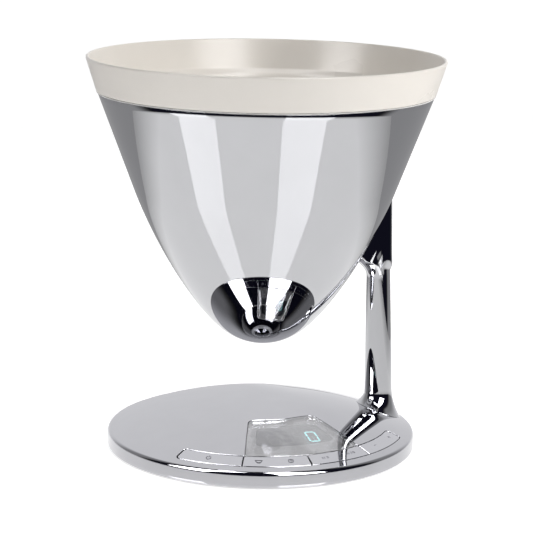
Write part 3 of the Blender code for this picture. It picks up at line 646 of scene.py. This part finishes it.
def window_outline(grow):
    """The window seen from above, moved outwards by grow: an arc at the keys and a hollowed rear edge."""
    half = WINDOW_FRONT_ANGLE + grow * 0.5
    front = arc(WINDOW_FRONT_R + grow, -half, half)
    rear_arc = arc(WINDOW_REAR_R - grow, WINDOW_REAR_ANGLE, -WINDOW_REAR_ANGLE, 1.5)
    rear = [(p.x, p.y, 0.0) for p in rear_arc]
    right = (WINDOW_REAR_X + grow, WINDOW_REAR_Y + grow, WINDOW_CORNER_R)
    left = (-WINDOW_REAR_X - grow, WINDOW_REAR_Y + grow, WINDOW_CORNER_R)
    return densify(round_corners([*[(p.x, p.y, 0.0) for p in front], right, *rear, left]), 1.0)


def cover_opening():
    """The slot for the keys joined to the window's cut-out, as one outline."""
    end = 2 * KEY_ANGLE + KEY_END_GAP
    slot = sector_outline(SLOT_INNER_R, SLOT_OUTER_R, -end, end, (2.6, 2.6))
    window = window_outline(KEY_GAP)
    half = math.degrees(math.asin((WINDOW_FRONT_X + KEY_GAP) / SLOT_INNER_R))
    rear = [p for p in window if p.length < SLOT_INNER_R - 0.35]
    first = max(range(len(rear)), key=lambda i: (rear[i] - rear[i - 1]).length)
    rear = rear[first:] + rear[:first]
    before, after = [], []
    seen_window = False
    for p in slot:
        angle = math.degrees(math.atan2(p.x, -p.y))
        if p.length < SLOT_INNER_R + 0.05 and abs(angle) < half:
            seen_window = True
        elif seen_window:
            after.append(p)
        else:
            before.append(p)
    return [*before, *rear, *after]


def build_cover():
    """The dome with its opening, the rounded shoulder and the side band, with a wall inside."""
    steps = 320
    slope = math.atan(2 * DOME_RISE / DOME_R)
    bend = (BASE_R - DOME_R) / (1 - math.sin(slope))
    centre_r, centre_z = BASE_R - bend, DOME_EDGE_Z - bend * math.cos(slope)
    profile = [(r, dome_z(r)) for r in (105.0, 106.0, 107.0, DOME_R)]
    for k in range(1, 11):
        angle = slope + (math.pi / 2 - slope) * k / 10
        profile.append((centre_r + bend * math.sin(angle), centre_z + bend * math.cos(angle)))
    inner_r = BASE_R - COVER_WALL
    profile += [(BASE_R, 6.0), (BASE_R, 3.0), (BASE_R, COVER_FOOT_Z + 0.5),
                (BASE_R - 0.15, COVER_FOOT_Z + 0.15), (BASE_R - 0.5, COVER_FOOT_Z),
                (inner_r + 0.3, COVER_FOOT_Z), (inner_r, COVER_FOOT_Z + 0.3),
                (inner_r, dome_z(inner_r) - COVER_WALL),
                (105.5, dome_z(105.5) - COVER_WALL)]
    edge_r = 104.4
    line = [Vector((edge_r * math.cos(math.tau * i / steps), edge_r * math.sin(math.tau * i / steps)))
            for i in range(steps)]
    bm = bmesh.new()
    rings = [ring_on_dome(bm, line, 0.0)]
    for radius, z in profile:
        rings.append([bm.verts.new((p.x * radius / edge_r, p.y * radius / edge_r, z)) for p in line])
    rings.append(ring_on_dome(bm, line, COVER_WALL))
    for a, b in zip(rings, rings[1:]):
        bridge(bm, a, b)
    hole = cover_opening()
    rows = [(offset(hole, -inset), drop) for inset, drop in rim_rows(0.3, COVER_WALL)]
    hole_rings = [ring_on_dome(bm, points, drop) for points, drop in rows]
    for a, b in zip(hole_rings, hole_rings[1:]):
        bridge(bm, a, b)
    fill_surface(bm, [rings[0], hole_rings[0]], [line, rows[0][0]], 0.0, 3.0)
    fill_surface(bm, [rings[-1], hole_rings[-1]], [line, rows[-1][0]], COVER_WALL, 6.0)
    finish_piece("cover", bm, "base_chrome", "platform", ["base_cover"], dome_normals=True)


def build_keys():
    turn = math.degrees(KEY_GAP / SLOT_INNER_R)
    for index, name in enumerate(KEY_NAMES):
        start = (index - 2) * KEY_ANGLE
        radii = (2.2 if index == 0 else 0.5, 2.2 if index == 3 else 0.5)
        outline = sector_outline(SLOT_INNER_R + 0.5, SLOT_OUTER_R - KEY_GAP, start + turn,
                                 start + KEY_ANGLE - turn, radii)
        dome_panel(name + "_cap", outline, 0.0, KEY_THICK, 0.3, "key_chrome", name, [name])
        for mark, shapes in KEY_MARKS[name]:
            build_mark(f"{name}_{mark}", name, shapes)


def build_window():
    dome_panel("window_pane", window_outline(0.0), 0.0, COVER_WALL, 0.25, "window", "platform",
               ["display_window"])
    reach = SLOT_INNER_R - 1.0
    border = [p if p.length < reach else p.normalized() * reach for p in window_outline(MASK_REACH)]
    dome_panel("window_border", densify(border, 1.0), MASK_DEPTH, MASK_THICK, 0.1, "grey_plastic", "platform",
               ["display_bezel"], 4.0, [densify(display_opening(), 1.0)])
    panel = densify(window_outline(-PANEL_INSET), 1.5)
    dome_panel("display_panel", panel, PANEL_DEPTH, PANEL_THICK, 0.2, "display", "platform",
               ["display_glass"], 4.0)


def display_opening():
    """The dark field of the display: an arc in front, slanted sides, a straight rear edge."""
    radius, half = OPENING_FRONT
    front = [(p.x, p.y, 0.0) for p in arc(radius, -half, half)]
    right = [OPENING_SIDE, OPENING_REAR]
    left = [(-x, y, corner_r) for x, y, corner_r in reversed(right)]
    return round_corners([*front, *right, *left], 6)


# ---------------------------------------------------------------- marks on the keys and digits on the display

def stroke_mesh(bm, points, width, height, low, closed=False):
    """A flat ribbon with a rounded top, along points on the dome, from low to low + height above it."""
    line = [Vector(p) for p in points]
    count = len(line)
    rows = []
    for i, here in enumerate(line):
        ahead = line[(i + 1) % count] if closed or i < count - 1 else here
        behind = line[i - 1] if closed or i > 0 else here
        along = (ahead - behind).normalized()
        side = Vector((-along.y, along.x)) * (width / 2)
        row = []
        for share, lift in ((-1, 0), (-0.8, height), (0.8, height), (1, 0)):
            p = here + side * share
            row.append(bm.verts.new((p.x, p.y, dome_z(p.length) + low + lift)))
        rows.append(row)
    pairs = list(zip(rows, rows[1:])) + ([(rows[-1], rows[0])] if closed else [])
    for a, b in pairs:
        for k in range(4):
            j = (k + 1) % 4
            bm.faces.new((a[k], a[j], b[j], b[k]))
    if not closed:
        bm.faces.new(rows[0])
        bm.faces.new(rows[-1][::-1])


def circle_points(radius, start=0.0, end=360.0, count=24, centre=(0.0, 0.0)):
    points = []
    for i in range(count + 1):
        angle = math.radians(start + (end - start) * i / count)
        points.append((centre[0] + radius * math.sin(angle), centre[1] + radius * math.cos(angle)))
    return points


def segment(a, b, count=4):
    return [(mix(a[0], b[0], i / count), mix(a[1], b[1], i / count)) for i in range(count + 1)]


# Each mark: (name, [(points in mm about the mark's centre, with +y away from the user, closed)])
POWER = [(circle_points(1.6, 35, 325), False), (segment((0, 0.5), (0, 2.2)), False)]
BOWL = [(circle_points(2.2, 95, 265, 16, (0, 0.9)), False), (segment((-2.7, 0.9), (2.7, 0.9)), False),
        (segment((-1.2, -1.7), (1.2, -1.7)), False)]
CLOCK = [(circle_points(1.7)[:-1], True), (segment((0, 0), (0, 1.2)), False),
         (segment((0, 0), (1.0, 0)), False)]
DOTS = [(segment((-2.1, -0.9), (-2.1, 0.9)), False), (segment((-0.7, -0.9), (-0.7, 0.9)), False),
        (segment((0.9, 0.6), (2.4, 0.6)), False), (segment((0.9, -0.6), (2.4, -0.6)), False)]
DROP = [(segment((-3.4, -0.8), (-3.4, 0.8)), False), (segment((-2.2, -0.8), (-2.2, 0.8)), False),
        (segment((-0.2, -1.3), (0.3, 1.3)), False), (circle_points(0.8, 0, 360, 16, (2.2, 0))[:-1], True)]
MINUS = [(segment((-1.2, 0), (1.2, 0)), False)]
PLUS = [(segment((-1.2, 0), (1.2, 0)), False), (segment((0, -1.2), (0, 1.2)), False)]
KEY_MARKS = {
    "key_power": [("mark", (POWER, -41.1))],
    "key_bowl_timer": [("bowl_mark", (BOWL, -20.6)), ("clock_mark", (CLOCK, -7.7))],
    "key_units": [("weight_mark", (DOTS, 7.1)), ("volume_mark", (DROP, 19.8))],
    "key_plus_minus": [("minus_mark", (MINUS, 35.0)), ("plus_mark", (PLUS, 48.2))],
}


def build_mark(name, body, placed):
    shapes, azimuth = placed
    centre = polar(KEY_MIDDLE_R - 0.5, azimuth)
    angle = math.radians(azimuth)
    across, away = Vector((math.cos(angle), math.sin(angle))), Vector((-math.sin(angle), math.cos(angle)))
    bm = bmesh.new()
    for points, closed in shapes:
        stroke_mesh(bm, [centre + across * x + away * y for x, y in points], 0.48, 0.03, 0.012, closed)
    finish_piece(name, bm, "print", body)


def segment_lines(origin, width, height):
    """The seven bars of a digit, from its lower left corner, in the order top, middle, bottom, then sides."""
    gap = 0.35
    x0, y0 = origin
    x1, ym, y1 = x0 + width, y0 + height / 2, y0 + height
    flat = [((x0 + gap, y), (x1 - gap, y)) for y in (y1, ym, y0)]
    upright = [((x, low + gap), (x, high - gap)) for x in (x0, x1) for low, high in ((y0, ym), (ym, y1))]
    return flat + upright


def build_digits():
    """Four digits: the last one shows a lit zero, and the rest are faint."""
    for number in range(4):
        lower_left = (DIGIT_CORNER[0] - number * DIGIT_PITCH, DIGIT_CORNER[1])
        for lit in (True, False):
            bars = segment_lines(lower_left, DIGIT_WIDTH, DIGIT_HEIGHT)
            zero = [bars[0], *bars[2:]]
            chosen = (zero if lit else bars[1:2]) if number == 0 else ([] if lit else bars)
            if not chosen:
                continue
            bm = bmesh.new()
            for a, b in chosen:
                stroke_mesh(bm, segment(a, b, 6), DIGIT_BAR, 0.04, 0.015 - PANEL_DEPTH)
            finish_piece(f"digit_{number + 1}_{'lit' if lit else 'faint'}", bm, "lit" if lit else "unlit",
                         "platform")


# ---------------------------------------------------------------- cone, ring and bowl

def cone_outline(nose_steps=14, curve_steps=44, wall_steps=16):
    """The cone's outside from its tip up, as (point, direction along it)."""
    wall = Vector((WALL_SLOPE, 1.0)).normalized()
    line = []
    for i in range(nose_steps + 1):
        angle = NOSE_ANGLE * i / nose_steps
        point = Vector((NOSE_R * math.sin(angle), CONE_TIP_Z + NOSE_R * (1 - math.cos(angle))))
        line.append((point, Vector((math.cos(angle), math.sin(angle)))))
    start, lead = line[-1]
    end = Vector((CONE_TOP_R - WALL_SLOPE * (CONE_TOP_Z - WALL_START_Z), WALL_START_Z))
    p1, p2 = start + lead * NOSE_HANDLE, end - wall * WALL_HANDLE
    for i in range(1, curve_steps + 1):
        t = i / curve_steps
        s = 1 - t
        point = s**3 * start + 3 * s * s * t * p1 + 3 * s * t * t * p2 + t**3 * end
        along = s * s * (p1 - start) + 2 * s * t * (p2 - p1) + t * t * (end - p2)
        line.append((point, along.normalized()))
    top = Vector((CONE_TOP_R, CONE_TOP_Z))
    line += [(end.lerp(top, i / wall_steps), wall) for i in range(1, wall_steps + 1)]
    return line


def cone_offset(inset, top_z):
    """The outline moved inwards, from the axis up to a height."""
    points = []
    for point, along in cone_outline():
        moved = point - Vector((along.y, -along.x)) * inset
        points.append((max(moved.x, 0.0), moved.y))
    points[0] = (0.0, CONE_TIP_Z + inset)
    below = [p for p in points if p[1] < top_z - 0.5]
    last = below[-1]
    return [*below, (last[0] + WALL_SLOPE * (top_z - last[1]), top_z)]


def cone_radius(z):
    heights = [p.y for p, _ in CONE_LINE]
    return float(np.interp(z, heights, [p.x for p, _ in CONE_LINE]))


def rounded_end(outer, inner, steps=5):
    """Points over the top of a wall, from its outer face to its inner one."""
    middle = ((outer[0] + inner[0]) / 2, outer[1])
    half = (outer[0] - inner[0]) / 2
    angles = [math.pi * k / steps for k in range(steps + 1)]
    return [(middle[0] + half * math.cos(a), middle[1] + half * math.sin(a)) for a in angles]


def build_cone():
    lip, edge = CONE_TOP_Z - 0.2, 0.15
    outer, inner = cone_offset(0.0, lip), cone_offset(CONE_WALL, lip)
    top = [(outer[-1][0] - edge * 0.3, CONE_TOP_Z - edge * 0.3), (outer[-1][0] - edge, CONE_TOP_Z),
           (inner[-1][0] + edge, CONE_TOP_Z)]
    profile = [*outer, *top, *reversed(inner)]
    revolve("cone_shell", profile, 240, "chrome", "platform", ["cone"])


def build_ring():
    low, high = RING_Z
    profile = [(SEAL_INNER_R, low), (SEAL_OUTER_R, low), (SEAL_OUTER_R + 0.1, (low + high) / 2),
               (SEAL_OUTER_R, high), (SEAL_INNER_R, high)]
    revolve("seal_ring", profile, 240, "seal", "platform", ["seat_ring"])


def build_bowl():
    """The cream bowl: a wall that follows the cone, then a band that leans out to a rounded rim."""
    band_z = RING_Z[1] + 0.3
    outer = cone_offset(BOWL_INSET, band_z)
    inner = cone_offset(BOWL_INSET + BOWL_WALL, band_z)
    lean = (RIM_R - BAND_FOOT_R) / (RIM_Z - band_z)
    band = [(BAND_FOOT_R - 0.6, band_z), (BAND_FOOT_R - 0.15, band_z + 0.1),
            (BAND_FOOT_R + 0.1, band_z + 0.5)]
    band += [(BAND_FOOT_R + lean * (z - band_z), z) for z in np.linspace(band_z + 1.5, RIM_Z - 1.6, 14)]
    edge = (BAND_FOOT_R + lean * (RIM_Z - 1.15 - band_z), RIM_Z - 1.15)
    top = rounded_end(edge, (edge[0] - BAND_WALL, edge[1]), 8)
    inside_band = [(p[0] - BAND_WALL - 0.1, p[1]) for p in reversed(band[3:-1])]
    profile = [*outer, *band, *top, *inside_band, *reversed(inner)]
    revolve("bowl_shell", profile, 240, "cream", "bowl", ["bowl"])


# ---------------------------------------------------------------- stem

def stem_section(z):
    """Inner and outer x and the half width of the stem's section at a height."""
    t = (z - STEM_LOW_Z) / (STEM_TOP_Z - STEM_LOW_Z)
    centre = mix(STEM_FOOT_X, STEM_TOP_X, t)
    radius = mix(STEM_FOOT_R, STEM_TOP_R, min(t * 1.5, 1.0))
    inner, outer, side = centre - radius, centre + radius, radius
    foot = max(0.0, 1 - (z - FLARE_Z) / FLARE_HEIGHT)
    inner -= 15.0 * foot**2.6
    side += 11.0 * foot**2.6
    outer += 2.5 * foot**2
    web = min(1.0, max(0.0, (z - WEB_Z) / WEB_HEIGHT))
    return inner - 10.0 * web**2, outer, side + 1.5 * web**2


def stem_point(angle, z):
    """A point of the stem's skin: round below, and flat-sided where it meets the cone."""
    inner, outer, side = stem_section(z)
    centre, half = (inner + outer) / 2, (outer - inner) / 2
    c, s = math.cos(angle), math.sin(angle)
    round_x, round_y = centre + half * c, side * s
    box_x = centre + half * math.copysign(abs(c) ** FLAT_POWER, c)
    box_y = side * math.copysign(abs(s) ** FLAT_POWER, s) * 0.92
    start = mix(FLAT_OUTER_Z, FLAT_INNER_Z, min(1.0, max(0.0, (outer - round_x) / (outer - inner))))
    flat = soft_step(z, start, start + FLAT_BLEND)
    return mix(round_x, box_x, flat), mix(round_y, box_y, flat)


def find_height(test, low, high):
    """The height where test turns from false to true, by halving."""
    for _ in range(40):
        middle = (low + high) / 2
        if test(middle):
            high = middle
        else:
            low = middle
    return (low + high) / 2


def build_stem():
    sides, rows = 128, 190
    columns = []
    for i in range(sides):
        angle = math.tau * i / sides
        low = find_height(lambda z: z > dome_z(math.hypot(*stem_point(angle, z))), 4.0, 33.0)
        high = find_height(lambda z: math.hypot(*stem_point(angle, z)) < cone_radius(z) + 0.05, 120.0, 205.0)
        column = []
        for j in range(rows + 1):
            t = j / rows
            z = mix(low, high, mix(t, t * t * (3 - 2 * t), 0.6))
            column.append((*stem_point(angle, z), z))
        columns.append(column)
    bm = bmesh.new()
    rings = [[bm.verts.new(column[j]) for column in columns] for j in range(rows + 1)]
    for a, b in zip(rings, rings[1:]):
        bridge(bm, a, b)
    bm.faces.new(rings[0][::-1])
    bm.faces.new(rings[-1])
    finish_piece("stem_column", bm, "chrome", "platform", ["stem"])


# ---------------------------------------------------------------- nodes that stay as the CAD made them

def paint_nodes():
    for part in frame["record"]["subparts"]:
        node = frame["nodes"][part["node"]]
        node.data.materials.clear()
        node.data.materials.append(MATERIALS[part["material_slot"]])


make_camera()
MATERIALS = make_materials()
CONE_LINE = cone_outline()
make_studio()
paint_nodes()
build_cover()
build_keys()
build_window()
build_digits()
build_cone()
build_ring()
build_bowl()
build_stem()
